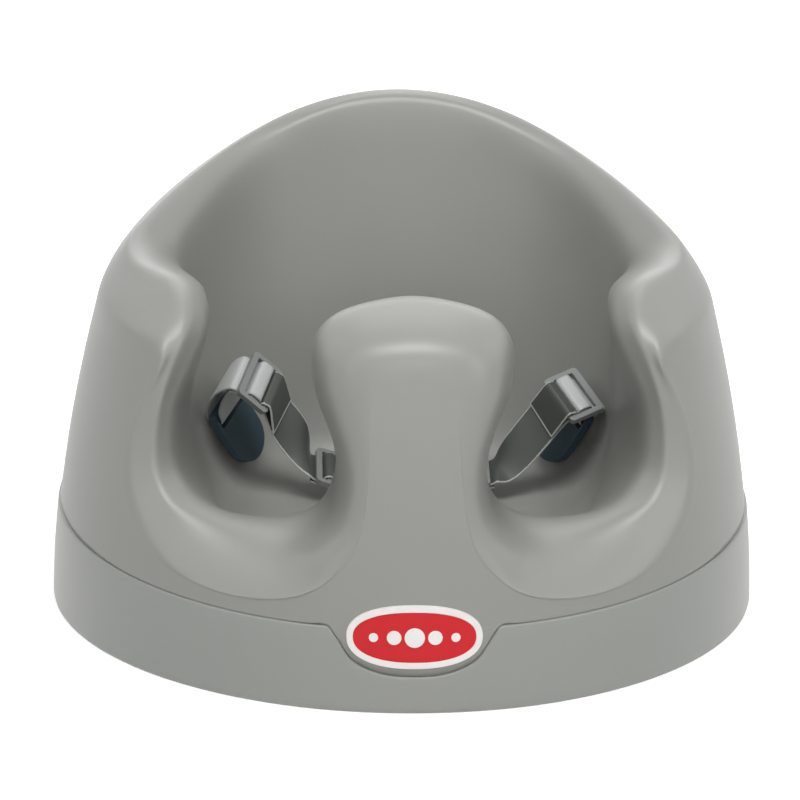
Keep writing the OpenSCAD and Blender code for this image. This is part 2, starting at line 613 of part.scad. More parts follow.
// Strap adjuster: three bars across the webbing, joined by two rails
module adjuster(s) {
  across = web_w + 7;
  in_frame(adjuster_at[s], adjuster_along[s], -adjuster_side[s])
    translate([0, 0, -adjuster_t / 2]) difference() {
    linear_extrude(adjuster_t) slab_outline(2 * adjuster_end, across, 2.5);
    for (e = [-1, 1]) translate([e * (mid_bar_w + slot_w) / 2, 0, -1])
      linear_extrude(adjuster_t + 2) slab_outline(slot_w, web_w + 1.2, 1);
  }
}

// Buckle tongue: a prong inside the housing, and a frame with two bars for the lap strap
module tongue(s) {
  frame_l = 16.2;
  frame_w = web_w + 9;
  frame_t = 2.4;
  in_frame(buckle_at, [-1, 0, 0], -buckle_along) {
    translate([frame_start - 20, 0, -prong_t / 2]) linear_extrude(prong_t) {
      translate([4, -prong_w / 2]) square([18.4, prong_w]);
      translate([0, -prong_w / 2 + 4]) square([5, prong_w - 8]);
      for (e = [-1, 1]) translate([4, e * (prong_w / 2 - 4)]) circle(4, $fn = 48);
    }
    translate([frame_start, 0, 0]) rotate([0, -frame_tilt[s], 0])
      translate([0, 0, -frame_t / 2]) difference() {
      translate([frame_l / 2, 0, 0]) linear_extrude(frame_t) slab_outline(frame_l, frame_w, 4);
      translate([5.1, 0, -1]) linear_extrude(frame_t + 2) slab_outline(3, web_w + 2, 1);
      translate([11.2, 0, -1]) linear_extrude(frame_t + 2) slab_outline(3.2, web_w + 2, 1);
    }
  }
}
prong_w = 20;
prong_t = 3;

// ---------- buckle ----------

module on_buckle() in_frame(buckle_at, [1, 0, 0], buckle_along) children();
// One cover of the housing, from the parting plane up, with half of both openings for the tongues
module cover_shell() {
  difference() {
    union() {
      linear_extrude(buckle_t / 2 - 1) slab_outline(buckle_w, buckle_l, 8);
      translate([0, 0, buckle_t / 2 - 1]) linear_extrude(1) slab_outline(buckle_w - 2, buckle_l - 2, 7);
    }
    translate([0, 0, -1]) linear_extrude(buckle_t / 2 - cover_t + 1)
      slab_outline(buckle_w - 2 * cover_t, buckle_l - 2 * cover_t, 8 - cover_t);
    for (s = [-1, 1]) translate([s * buckle_w / 2, 0, 0])
      cube([20, prong_w + 2 * run_gap, prong_t + 2 * run_gap], center = true);
  }
}
module buckle_front_cover() {
  color(plastic_colour) on_buckle() difference() {
    cover_shell();
    cylinder(d = button_d + 2 * run_gap, h = buckle_t, $fn = 72);
  }
}
// The rear cover carries the spring cup, and the bar for the crotch strap in front
bar_reach = 10;
crotch_bar = [3.4, 3.2];
module buckle_rear_cover() {
  arm = 3;
  color(plastic_colour) on_buckle() {
    mirror([0, 0, 1]) cover_shell();
    translate([0, 0, -buckle_t / 2 + cover_t - 0.5]) difference() {
      cylinder(r = spring_r + 2, h = 1.7, $fn = 64);
      translate([0, 0, 0.5]) cylinder(r = spring_r + 1, h = 3, $fn = 64);
    }
    for (s = [-1, 1]) translate([s * (web_w / 2 + 1.2 + arm / 2) - arm / 2, -buckle_l / 2 - bar_reach, -2.6])
      cube([arm, bar_reach + cover_t / 2, 2.6]);
    translate([-web_w / 2 - 2, -buckle_l / 2 - bar_reach, -2.6]) cube([web_w + 4, crotch_bar[0], 3.2]);
  }
}

// Release button: a round face, a flange under the cover, and a cup for the spring
button_face = buckle_t / 2 + 1;
flange_z = buckle_t / 2 - cover_t - 0.1;
cup_z = flange_z + 1;
module release_button() {
  color([0.62, 0.63, 0.63]) on_buckle() difference() {
    union() {
      cylinder(d = button_d, h = button_face, $fn = 72);
      cylinder(d = button_d + 3, h = flange_z, $fn = 72);
    }
    translate([0, 0, -1]) cylinder(d = button_d + 10, h = flange_z - 0.3, $fn = 72);
    translate([0, 0, -1]) cylinder(r = spring_r + 1, h = cup_z + 1, $fn = 64);
  }
}

// Compression spring under the button
spring_r = 4.8;
spring_wire = 0.8;
spring_turns = 4;
module button_spring() {
  z0 = -buckle_t / 2 + cover_t + spring_wire / 2;
  z1 = cup_z - spring_wire / 2;
  n = spring_turns * 18;
  points = [for (i = [0:n], k = [0:5])
    let (a = i * 20, r = spring_r + spring_wire / 2 * cos(k * 60), f = min(1, max(0, (i - 12) / (n - 24))))
    [r * cos(a), r * sin(a), mix(z0, z1, f) + spring_wire / 2 * sin(k * 60)]];
  color("silver") on_buckle() polyhedron(points, tube_faces(n + 1, 6, false), convexity = 8);
}

// Crotch anchor: a plate in the floor of the bucket, two posts with a bar, and barbed stems below
crotch_y = -38;
crotch_bar_z = floor_h + 5.5;
module crotch_anchor() {
  post = 3;
  color(anchor_colour) translate([0, crotch_y, 0]) {
    translate([0, 0, floor_h - 1.8]) linear_extrude(2.2) slab_outline(web_w + 15, 14, 4);
    for (s = [-1, 1]) {
      translate([s * (web_w / 2 + 1.2 + post / 2) - post / 2, -4, floor_h - 1])
        cube([post, 8, crotch_bar_z + 1 - floor_h]);
      translate([s * (web_w / 2 + 1.2 + post / 2), 0, crotch_bar_z]) rotate([0, 90, 0])
        cylinder(d = 8, h = post, center = true, $fn = 48);
      translate([s * 10, 0, floor_h - 18]) cylinder(d = stem_d - 2, h = 18, $fn = 48);
    }
    translate([0, 0, crotch_bar_z]) rotate([0, 90, 0])
      cylinder(d = 4, h = web_w + 4, center = true, $fn = 32);
  }
}

// Crotch strap: a loop round the bar of the rear cover and the bar of the crotch anchor
module crotch_strap() {
  bar = buckle_at + (-buckle_l / 2 - bar_reach + crotch_bar[0] / 2) * buckle_along - buckle_out;
  far = [0, crotch_y, crotch_bar_z];
  mid = (bar + far) / 2;
  near_ring = [[-5, 3], [-1.6, 3], [1.6, 2.9], [3, 1.3], [3, -0.9], [1.6, -2.6], [-1.6, -3], [-5, -2.7]];
  far_ring = [[5.5, -2.6], [1, -3], [-2, -2.3], [-3, 0], [-2, 2.3], [1, 3], [5.5, 2.7]];
  c = [for (q = near_ring) joined(bar + q[0] * buckle_along + q[1] * buckle_out, [1, 0, 0]),
       joined(mid + [0, 0, -2.7], [1, 0, 0]),
       for (q = far_ring) joined(far + [0, q[0], q[1]], [1, 0, 0]),
       joined(mid + [0, 0, 2.9], [1, 0, 0])];
  curve = smooth_loop(c, 2);
  color(web_colour) band(places(curve), widths(curve), true);
}

// Left and right pieces
module other_side() mirror([1, 0, 0]) children();
module anchor_left() color(anchor_colour) anchor();
module anchor_right() other_side() anchor_left();
module anchor_sleeve_left() color(anchor_colour) anchor_sleeve();
module anchor_sleeve_right() other_side() anchor_sleeve_left();
module anchor_loop_left() anchor_loop(0);
module anchor_loop_right() other_side() anchor_loop(1);
module adjuster_left() color(plastic_colour) adjuster(0);
module adjuster_right() color(plastic_colour) other_side() adjuster(1);
module lap_strap_left() lap_strap(0);
module lap_strap_right() other_side() lap_strap(1);
module tongue_left() color(plastic_colour) tongue(0);
module tongue_right() color(plastic_colour) other_side() tongue(1);

seat_body();
base_ring();
base_plate();
base_screws();
screw_bushes();
foot_pad_front_left();
foot_pad_front_right();
foot_pad_rear_left();
foot_pad_rear_right();
badge_plate();
badge_field();
badge_dots();
anchor_left();
anchor_right();
anchor_sleeve_left();
anchor_sleeve_right();
anchor_loop_left();
anchor_loop_right();
adjuster_left();
adjuster_right();
lap_strap_left();
lap_strap_right();
tongue_left();
tongue_right();
buckle_front_cover();
buckle_rear_cover();
release_button();
button_spring();
crotch_strap();
crotch_anchor();
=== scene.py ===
# %% [markdown]
# # Baby floor seat
# The seat is one deep foam moulding on a low oval base. A pommel stands between its two leg
# openings, and a waist harness is fastened behind the pommel. The CAD frame already holds every
# solid at its real size. This lesson gives the solids the surfaces that a hand would feel: satin
# foam skin, moulded plastic and woven webbing. Lengths are in metres, with +Z up and the sitter
# facing -Y.

# %% The frame
import json
import math
import bmesh
import bpy
from mathutils import Matrix, Vector


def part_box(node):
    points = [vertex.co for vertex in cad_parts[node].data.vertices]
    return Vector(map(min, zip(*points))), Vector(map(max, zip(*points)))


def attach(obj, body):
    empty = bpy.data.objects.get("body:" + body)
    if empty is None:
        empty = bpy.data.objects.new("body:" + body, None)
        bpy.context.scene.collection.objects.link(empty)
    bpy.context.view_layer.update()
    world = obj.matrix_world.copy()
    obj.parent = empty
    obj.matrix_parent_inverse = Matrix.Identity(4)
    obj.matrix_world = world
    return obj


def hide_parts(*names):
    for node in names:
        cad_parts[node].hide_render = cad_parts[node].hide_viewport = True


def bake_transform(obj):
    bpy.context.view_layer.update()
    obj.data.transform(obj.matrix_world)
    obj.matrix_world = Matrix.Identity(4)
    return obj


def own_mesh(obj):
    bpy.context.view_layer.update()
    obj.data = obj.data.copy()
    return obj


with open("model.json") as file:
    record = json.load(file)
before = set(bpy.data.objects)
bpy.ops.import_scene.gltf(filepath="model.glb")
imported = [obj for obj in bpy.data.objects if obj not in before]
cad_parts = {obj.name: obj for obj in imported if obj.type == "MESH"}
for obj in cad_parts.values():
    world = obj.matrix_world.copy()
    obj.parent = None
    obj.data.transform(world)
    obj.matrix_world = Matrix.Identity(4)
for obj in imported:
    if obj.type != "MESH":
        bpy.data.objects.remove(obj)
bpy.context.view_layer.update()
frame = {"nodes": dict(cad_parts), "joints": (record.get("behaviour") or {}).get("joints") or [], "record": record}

mm = 0.001
nodes = frame["nodes"]
record = frame["record"]
body_of_node = {node: body for body, names in record["behaviour"]["bodies"].items() for node in names}
slot_of_node = {part["node"]: part["material_slot"] for part in record["subparts"]}

# %% [markdown]
# ## Camera
# The picture is taken from a little above and with a long lens, so the round base looks nearly
# like a half oval and the arms keep their size. A camera could be turned by eye until it looks
# right. Here its angles, the point it looks at and its focal length are named values, because the
# outlines of the base, the rim and the pommel only lie where they should when all of them fit.

# %% The camera
azimuth, elevation, roll = math.radians(-2.074), math.radians(17.875), math.radians(0.728)
aim = Vector((-2.181, 0, 104.405)) * mm
distance = 1.7
focal_length_px, picture_width_px = 3154, 800
sensor_width_mm = 36

back = Vector((math.sin(azimuth) * math.cos(elevation), -math.cos(azimuth) * math.cos(elevation),
               math.sin(elevation)))
level = Vector((math.cos(azimuth), math.sin(azimuth), 0))
upright = back.cross(level)
right = level * math.cos(roll) + upright * math.sin(roll)
up = upright * math.cos(roll) - level * math.sin(roll)

lens = bpy.data.cameras.new("camera")
lens.sensor_width = sensor_width_mm
lens.lens = focal_length_px * sensor_width_mm / picture_width_px
camera = bpy.data.objects.new("camera", lens)
bpy.context.scene.collection.objects.link(camera)
turned = Matrix((right, up, back)).transposed().to_4x4()
camera.matrix_world = Matrix.Translation(aim + back * distance) @ turned
bpy.context.scene.camera = camera
bpy.context.scene.view_settings.view_transform = "Standard"
print("lens", round(lens.lens, 1), "mm, camera at", [round(c, 3) for c in camera.location])

# %% [markdown]
# ## Light
# A satin skin shows its form by the soft pale bands that broad lamps leave on it. One lamp would
# leave half of the seat in the dark, so there are eight, and each is a rectangle as a soft box
# is. The one above and in front does most of the work. Those behind draw the rim of the backrest,
# those at the sides draw the arms, and a weak one in front fills the leg openings. The right side
# is lit more than the left, because a form that is lit alike from both sides looks flat.

# %% Soft boxes
def soft_box(name, place, target, size, power):
    """A rectangular lamp that faces its target, with its size in metres and its power in watts."""
    light = bpy.data.lights.new(name, "AREA")
    light.shape = "RECTANGLE"
    light.size, light.size_y = size
    light.energy = power
    box = bpy.data.objects.new(name, light)
    bpy.context.scene.collection.objects.link(box)
    box.location = place
    box.rotation_euler = (Vector(place) - Vector(target)).to_track_quat("Z", "Y").to_euler()

soft_box("box_above", place=(0, -0.65, 1.55), target=(0, 0, 0.1), size=(1.0, 0.7), power=17)
soft_box("box_behind", place=(0, 1.0, 1.4), target=(0, 0, 0.15), size=(1.0, 0.6), power=3)
soft_box("box_back", place=(0, 2.1, 0.7), target=(0, 0, 0.12), size=(1.8, 0.8), power=7)
soft_box("box_near", place=(0, -1.1, 0.6), target=(0, 0, 0.1), size=(0.5, 0.4), power=1.6)
soft_box("box_left", place=(-1.3, -0.9, 0.9), target=(0, 0, 0.12), size=(0.5, 0.9), power=2.5)
soft_box("box_right", place=(1.3, -0.9, 0.9), target=(0, 0, 0.12), size=(0.5, 0.9), power=4.5)
soft_box("rim_left", place=(-1.6, 0.7, 1.1), target=(0, 0, 0.12), size=(0.5, 1.2), power=2)
soft_box("rim_right", place=(1.6, 0.7, 1.1), target=(0, 0, 0.12), size=(0.5, 1.2), power=2)

# %% [markdown]
# ## Backdrop
# The seat stands before plain white. More light would whiten the backdrop, but it would bleach the
# seat too. So the world is white only to a ray that comes from the camera, from a shiny surface or
# through glass, and it lights the seat hardly at all.

# %% White world
def feed(tree, socket, value):
    """Sets a socket to a number or a colour, or links the output of another node to it."""
    if isinstance(value, (int, float, tuple)):
        socket.default_value = value
    else:
        tree.links.new(value, socket)

def math_node(tree, operation, *values):
    n = tree.nodes.new("ShaderNodeMath")
    n.operation = operation
    for socket, value in zip(n.inputs, values):
        feed(tree, socket, value)
    return n.outputs[0]

def map_range(tree, value, from_min, from_max, to_min=0.0, to_max=1.0):
    n = tree.nodes.new("ShaderNodeMapRange")
    names = ("Value", "From Min", "From Max", "To Min", "To Max")
    for name, given in zip(names, (value, from_min, from_max, to_min, to_max)):
        feed(tree, n.inputs[name], given)
    return n.outputs["Result"]

def seen_directly(tree):
    """1 for a ray from the camera, from a shiny surface or through glass, and 0 for the rest."""
    path = tree.nodes.new("ShaderNodeLightPath").outputs
    either = math_node(tree, "MAXIMUM", path["Is Glossy Ray"], path["Is Transmission Ray"])
    return math_node(tree, "MAXIMUM", path["Is Camera Ray"], either)

white = (1, 1, 1, 1)
light_of_the_room = 0.02
world = bpy.data.worlds.new("studio")
world.use_nodes = True
bpy.context.scene.world = world
sky = world.node_tree.nodes["Background"]
sky.inputs["Color"].default_value = white
feed(world.node_tree, sky.inputs["Strength"],
     map_range(world.node_tree, seen_directly(world.node_tree), 0, 1, light_of_the_room, 1))
print("world:", world.name)

# %% [markdown]
# ## Floor
# A seat for the floor needs a floor that shows its shadow. Paper that is lit alike all over would
# end in a grey horizon, so this one also glows, and the glow grows with the distance from the
# seat. Near the seat the shadow stays, and far away the floor is as white as the world.

# %% Floor
def new_material(name):
    m = bpy.data.materials.new(name)
    m.use_nodes = True
    return m, m.node_tree, m.node_tree.nodes["Principled BSDF"]

floor_half_width = 6
glow_starts, glow_full = 0.35, 1.6
weakest_glow = 0.6

floor_mesh = bmesh.new()
bmesh.ops.create_grid(floor_mesh, x_segments=2, y_segments=2, size=floor_half_width)
floor = bpy.data.objects.new("floor", bpy.data.meshes.new("floor"))
floor_mesh.to_mesh(floor.data)
floor_mesh.free()
bpy.context.scene.collection.objects.link(floor)

pale, tree, shader = new_material("pale_floor")
shader.inputs["Base Color"].default_value = (0.82, 0.82, 0.81, 1)
shader.inputs["Roughness"].default_value = 0.9
shader.inputs["Emission Color"].default_value = white
away = tree.nodes.new("ShaderNodeVectorMath")
away.operation = "LENGTH"
feed(tree, away.inputs[0], tree.nodes.new("ShaderNodeTexCoord").outputs["Object"])
whiter = map_range(tree, away.outputs["Value"], glow_starts, glow_full, weakest_glow, 1)
feed(tree, shader.inputs["Emission Strength"], math_node(tree, "MULTIPLY", whiter, seen_directly(tree)))
floor.data.materials.append(pale)
print("floor:", len(floor.data.polygons), "faces,", 2 * floor_half_width, "m wide")

# %% [markdown]
# ## Grain of moulded surfaces
# Foam skin and moulded plastic have two things in common: a very fine grain from the wall of the
# mould, and a slow change in tone and gloss where the skin is thicker or more handled. Each
# material could hold its own noise. One shader group with named inputs does it for all of them,
# and each material sets its own scale and strength.

# %% Helpers for groups
FLOAT, COLOUR, VECTOR = "NodeSocketFloat", "NodeSocketColor", "NodeSocketVector"

def new_group(name, inputs, outputs):
    """A shader group from inputs (name, kind, first value) and outputs (name, kind)."""
    g = bpy.data.node_groups.new(name, "ShaderNodeTree")
    for label, kind, value in inputs:
        s = g.interface.new_socket(label, in_out="INPUT", socket_type=kind)
        if value is not None:
            s.default_value = value
    for label, kind in outputs:
        g.interface.new_socket(label, in_out="OUTPUT", socket_type=kind)
    return g, g.nodes.new("NodeGroupInput").outputs, g.nodes.new("NodeGroupOutput").inputs

def noise(tree, vector, scale, detail, rough=0.5):
    n = tree.nodes.new("ShaderNodeTexNoise")
    for name, value in (("Detail", detail), ("Roughness", rough), ("Vector", vector), ("Scale", scale)):
        feed(tree, n.inputs[name], value)
    return n.outputs["Fac"]

def shaded(tree, colour, factor):
    """A colour made lighter or darker by a factor."""
    n = tree.nodes.new("ShaderNodeVectorMath")
    n.operation = "SCALE"
    feed(tree, n.inputs[0], colour)
    feed(tree, n.inputs["Scale"], factor)
    return n.outputs[0]

print("helpers for groups:", new_group.__name__, noise.__name__, shaded.__name__)

# %% Moulded grain
patches_per_metre = 14
grain, given, result = new_group(
    "moulded_grain",
    [("Vector", VECTOR, None), ("Colour", COLOUR, (0.3, 0.3, 0.3, 1)), ("Tone Swing", FLOAT, 0.05),
     ("Grain Scale", FLOAT, 900.0), ("Roughness", FLOAT, 0.45), ("Roughness Swing", FLOAT, 0.08)],
    [("Colour", COLOUR), ("Roughness", FLOAT), ("Height", FLOAT)])
patches = noise(grain, given["Vector"], patches_per_metre, detail=2)
fine = noise(grain, given["Vector"], given["Grain Scale"], detail=3, rough=0.6)
off_middle = math_node(grain, "SUBTRACT", patches, 0.5)
tone = math_node(grain, "ADD", math_node(grain, "MULTIPLY", off_middle, given["Tone Swing"]), 1)
uneven = math_node(grain, "MULTIPLY", off_middle, given["Roughness Swing"])
feed(grain, result["Colour"], shaded(grain, given["Colour"], tone))
feed(grain, result["Roughness"], math_node(grain, "ADD", uneven, given["Roughness"]))
feed(grain, result["Height"], fine)
print("group:", grain.name, "with", len(grain.nodes), "nodes")

# %% [markdown]
# ## Rubbed edges
# Hands and straps rub the edges of buckles and adjusters a little paler. Painting every edge
# would take long, so a second group finds them by how sharply the surface turns.

# %% Rubbed edges
wear, given, result = new_group("rubbed_edges", [("Low", FLOAT, 0.52), ("High", FLOAT, 0.6)],
                                [("Mask", FLOAT)])
turn = wear.nodes.new("ShaderNodeNewGeometry").outputs["Pointiness"]
feed(wear, result["Mask"], map_range(wear, turn, given["Low"], given["High"]))
print("group:", wear.name, "with", len(wear.nodes), "nodes")

# %% [markdown]
# ## Weave
# Harness webbing has fine ribs along its length, crossed by slanting picks of the twill. At its
# selvedges, and where a lap strap ends, a paler yarn shows. A thread-by-thread mesh would be far
# too heavy for something this fine, so the weave is a shader group. It reads the band's UV map,
# whose u runs across the band and v along it, both in millimetres, and so it follows every bend.

# %% Woven webbing
def mix_colour(tree, factor, a, b):
    """Mixes two colours. A Mix node has its colours at inputs 6 and 7 and its result at output 2."""
    n = tree.nodes.new("ShaderNodeMix")
    n.data_type = "RGBA"
    for socket, value in ((n.inputs["Factor"], factor), (n.inputs[6], a), (n.inputs[7], b)):
        feed(tree, socket, value)
    return n.outputs[2]

picks_per_mm = 2.2
tufts_per_mm = 1.4
weave, given, result = new_group(
    "woven_webbing",
    [("UV", VECTOR, None), ("Colour", COLOUR, (0.05, 0.05, 0.05, 1)),
     ("Edge Colour", COLOUR, (0.3, 0.3, 0.3, 1)), ("Edge From", FLOAT, 12.1), ("End Line", FLOAT, 0.0),
     ("Rib Pitch", FLOAT, 1.1), ("Tone Swing", FLOAT, 0.15)],
    [("Colour", COLOUR), ("Height", FLOAT)])
split = weave.nodes.new("ShaderNodeSeparateXYZ")
feed(weave, split.inputs[0], given["UV"])
u, v = split.outputs[0], split.outputs[1]

# %% Ribs, twill and pale yarn of the webbing
rib_height, twill_height = 0.5, 0.35
fray = 0.9
# The share of the weave's height in its tone: painted light on the raised ribs and picks, and painted shade in the
# grooves between them.
painted_rib_shade = 0.3
cloth_in_height, tufts_in_height = 0.5, 0.4

rib = math_node(weave, "DIVIDE", u, given["Rib Pitch"])
ribs = math_node(weave, "SINE", math_node(weave, "MULTIPLY", rib, 2 * math.pi))
pick = math_node(weave, "MULTIPLY", v, picks_per_mm)
slant = math_node(weave, "ADD", math_node(weave, "PINGPONG", rib, 1), pick)
twill = math_node(weave, "SINE", math_node(weave, "MULTIPLY", slant, math.pi))
raised_ribs = math_node(weave, "MULTIPLY", ribs, rib_height)
cloth = math_node(weave, "MULTIPLY_ADD", twill, twill_height, raised_ribs)
tufts = noise(weave, given["UV"], tufts_per_mm, detail=3)

ragged = math_node(weave, "MULTIPLY_ADD", tufts, fray, math_node(weave, "ABSOLUTE", u))
selvedge = math_node(weave, "GREATER_THAN", ragged, given["Edge From"])
strap_end = math_node(weave, "LESS_THAN", v, given["End Line"])
pale_yarn = math_node(weave, "MAXIMUM", selvedge, strap_end)

# The tone is painted light on the ribs and painted shade in the grooves, with a random tone from the tufts on top.
off_middle = math_node(weave, "SUBTRACT", tufts, 0.5)
rib_shade_and_tufts = math_node(weave, "MULTIPLY_ADD", cloth, painted_rib_shade, off_middle)
tone = math_node(weave, "MULTIPLY_ADD", rib_shade_and_tufts, given["Tone Swing"], 1)
yarn = mix_colour(weave, pale_yarn, given["Colour"], given["Edge Colour"])
raised_tufts = math_node(weave, "MULTIPLY", tufts, tufts_in_height)
height = math_node(weave, "MULTIPLY_ADD", cloth, cloth_in_height, raised_tufts)
feed(weave, result["Colour"], shaded(weave, yarn, tone))
feed(weave, result["Height"], height)
print("group:", weave.name, "with", len(weave.nodes), "nodes")

# %% [markdown]
# ## Finishes
# Each finish is one Principled shader that the groups feed with what changes over the surface.
# Numbers that are the same all over a piece, such as its coat, are set straight on the shader.
# The foam has a thin closed skin, so it gets a weak coat over a rather rough base, which gives the
# broad soft sheen of the real one. A single sharper gloss would make it look like hard plastic.

# %% Moulded finishes
def srgb(r, g, b):
    """A colour from 0 to 255, as a paint chart gives it, in the linear values that Blender uses."""
    return tuple(c / 12.92 if c <= 0.04045 else ((c + 0.055) / 1.055) ** 2.4
                 for c in (r / 255, g / 255, b / 255)) + (1,)

def place(tree, group, values):
    """Puts a group into a material and feeds its inputs by name."""
    n = tree.nodes.new("ShaderNodeGroup")
    n.node_tree = group
    for name, value in values.items():
        feed(tree, n.inputs[name], value)
    return n.outputs

def bumped(tree, shader, height, strength, depth):
    b = tree.nodes.new("ShaderNodeBump")
    b.inputs["Strength"].default_value = strength
    b.inputs["Distance"].default_value = depth
    feed(tree, b.inputs["Height"], height)
    feed(tree, shader.inputs["Normal"], b.outputs["Normal"])

grain_depth = 0.2 * mm
coat_roughness = 0.35
rubbed_gain, rubbed_lift = 1.5, 0.03

def moulded(name, colour, rough, swing=0.05, scale=900, bump=0.15, rubbed=0.0, metal=0.0, coat=0.0):
    m, tree, shader = new_material(name)
    where = tree.nodes.new("ShaderNodeTexCoord").outputs["Object"]
    skin = place(tree, grain, {"Vector": where, "Colour": colour, "Tone Swing": swing,
                               "Grain Scale": scale, "Roughness": rough})
    skin_colour = skin["Colour"]
    if rubbed:
        paler = tuple(min(1, c * rubbed_gain + rubbed_lift) for c in colour[:3]) + (1,)
        amount = math_node(tree, "MULTIPLY", place(tree, wear, {})["Mask"], rubbed)
        skin_colour = mix_colour(tree, amount, skin_colour, paler)
    feed(tree, shader.inputs["Base Color"], skin_colour)
    feed(tree, shader.inputs["Roughness"], skin["Roughness"])
    shader.inputs["Metallic"].default_value = metal
    shader.inputs["Coat Weight"].default_value = coat
    shader.inputs["Coat Roughness"].default_value = coat_roughness
    bumped(tree, shader, skin["Height"], bump, grain_depth)
    return m

finishes = {}
print("foam grey in linear values:", [round(c, 3) for c in srgb(152, 153, 148)[:3]])

# %% Foam, base and badge
for name, colour, numbers in (
        ("foam_skin", srgb(152, 153, 148), dict(rough=0.4, swing=0.05, scale=700, bump=0.16, coat=0.2)),
        ("base_plastic", srgb(154, 156, 152), dict(rough=0.4, swing=0.04, scale=1100, bump=0.14, coat=0.3)),
        ("base_plate", srgb(120, 122, 119), dict(rough=0.55, swing=0.06, scale=1000, bump=0.2, rubbed=0.3)),
        ("pad_rubber", srgb(52, 52, 52), dict(rough=0.75, swing=0.15, scale=800, bump=0.3, rubbed=0.3)),
        ("badge_white", srgb(253, 250, 247), dict(rough=0.3, swing=0.01, scale=1500, bump=0.03, coat=0.2)),
        ("badge_red", srgb(214, 4, 24), dict(rough=0.42, swing=0.03, scale=1500, bump=0.03))):
    finishes[name] = moulded(name, colour, **numbers)
print("finishes:", sorted(finishes))

# %% Fittings and metal
for name, colour, numbers in (
        ("adjuster_plastic", srgb(132, 135, 133), dict(rough=0.36, swing=0.08, bump=0.2, rubbed=0.35)),
        ("buckle_plastic", srgb(128, 131, 129), dict(rough=0.4, swing=0.08, bump=0.2, rubbed=0.3)),
        ("button_plastic", srgb(150, 152, 150), dict(rough=0.36, swing=0.06, bump=0.15, rubbed=0.3))):
    finishes[name] = moulded(name, colour, scale=1300, **numbers)
finishes["anchor_plastic"] = moulded("anchor_plastic", srgb(58, 80, 92), rough=0.34, swing=0.12,
                                     scale=1200, bump=0.2, rubbed=0.3)
for name, colour, numbers in (
        ("screw_steel", srgb(190, 190, 188), dict(rough=0.32, scale=1500, bump=0.1, rubbed=0.3)),
        ("bush_brass", srgb(196, 160, 92), dict(rough=0.3, scale=1500, bump=0.1, rubbed=0.3)),
        ("spring_steel", srgb(180, 182, 184), dict(rough=0.28, scale=1800, bump=0.05, rubbed=0.2))):
    finishes[name] = moulded(name, colour, swing=0.1, metal=1.0, **numbers)
print("finishes:", sorted(finishes))

# %% Webbing finishes
weave_depth = 0.12 * mm
weave_strength = 0.5

def webbing(name, colour, edge_colour, rough, sheen, end_line=0.0, swing=0.2):
    m, tree, shader = new_material(name)
    uv = tree.nodes.new("ShaderNodeUVMap")
    uv.uv_map = "band"
    cloth = place(tree, weave, {"UV": uv.outputs["UV"], "Colour": colour, "Edge Colour": edge_colour,
                                "End Line": end_line, "Tone Swing": swing})
    feed(tree, shader.inputs["Base Color"], cloth["Colour"])
    shader.inputs["Roughness"].default_value = rough
    shader.inputs["Sheen Weight"].default_value = sheen
    shader.inputs["Sheen Roughness"].default_value = 0.4
    bumped(tree, shader, cloth["Height"], weave_strength, weave_depth)
    return m

finishes["webbing_dark"] = webbing("webbing_dark", srgb(66, 69, 66), srgb(176, 178, 174),
                                   rough=0.5, sheen=0.15, end_line=0.9)
# The light webbing's larger tone swing makes its painted rib light and its speckle stronger, which stands in for
# the glints of its shiny weave.
finishes["webbing_light"] = webbing("webbing_light", srgb(194, 196, 196), srgb(176, 178, 178),
                                    rough=0.27, sheen=0.2, swing=0.4)
print("finishes in all:", len(finishes))

# %% [markdown]
# ## A clean mesh from a CAD node
# A CAD node arrives as loose triangles, and no modifier can smooth faces that share no corners. So
# its copy is merged first. Every piece then goes the same way: it gets its finish, rides on the
# body that its node belongs to, and takes the place of that node.

# %% Copies of CAD nodes
merge_gap = 0.002 * mm

def merged(node):
    bm = bmesh.new()
    bm.from_mesh(nodes[node].data)
    bmesh.ops.remove_doubles(bm, verts=bm.verts, dist=merge_gap)
    return bm

def make_piece(bm, node, name, smooth=30, rides=True):
    """Makes the visible piece of a node. Edges that turn by more than smooth degrees stay sharp."""
    mesh = bpy.data.meshes.new(name)
    bm.to_mesh(mesh)
    bm.free()
    for p in mesh.polygons:
        p.use_smooth = True
    mesh.set_sharp_from_angle(angle=math.radians(smooth))
    piece = bpy.data.objects.new(name, mesh)
    bpy.context.scene.collection.objects.link(piece)
    piece.data.materials.append(finishes[slot_of_node[node]])
    if rides:
        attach(piece, body_of_node[node])
    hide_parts(node)
    return piece

print("triangles of the foam seat in the frame:", len(nodes["seat_body"].data.polygons))

# %% [markdown]
# ## Foam seat and base
# The real seat is foam with its own skin, poured in a mould, so every edge is a generous round and
# the form flows from the pommel over the arms into the back. Bevels can't give that flow. Two
# levels of subdivision on the CAD surface can, but subdivision also draws a form in. So the
# corners first move out by as much as they are drawn in. Edges that are crisp on the real seat,
# such as the lip at the seam, get a crease.

# %% Keeping the size while the form gets finer
farthest_move = 2.5 * mm
correction_rounds = 2

def hold_shape(piece):
    """Moves the corners out by as much as the subdivision draws them in, up to a limit."""
    wanted = [v.co.copy() for v in piece.data.vertices]
    for _ in range(correction_rounds):
        shown = piece.evaluated_get(bpy.context.evaluated_depsgraph_get()).data.vertices
        short = [w - s.co for w, s in zip(wanted, shown)]
        for v, goal, gap in zip(piece.data.vertices, wanted, short):
            moved = v.co + gap - goal
            v.co = goal + moved * min(1, farthest_move / max(moved.length, 1e-9))
        piece.data.update()
        print(piece.name, "drawn in by up to", round(max(g.length for g in short) / mm, 2), "mm")

# %% Foam seat and base shell
subdivision_levels = 2
crease_strength = 0.5
underside_height = 20 * mm
crisp_underneath = 25

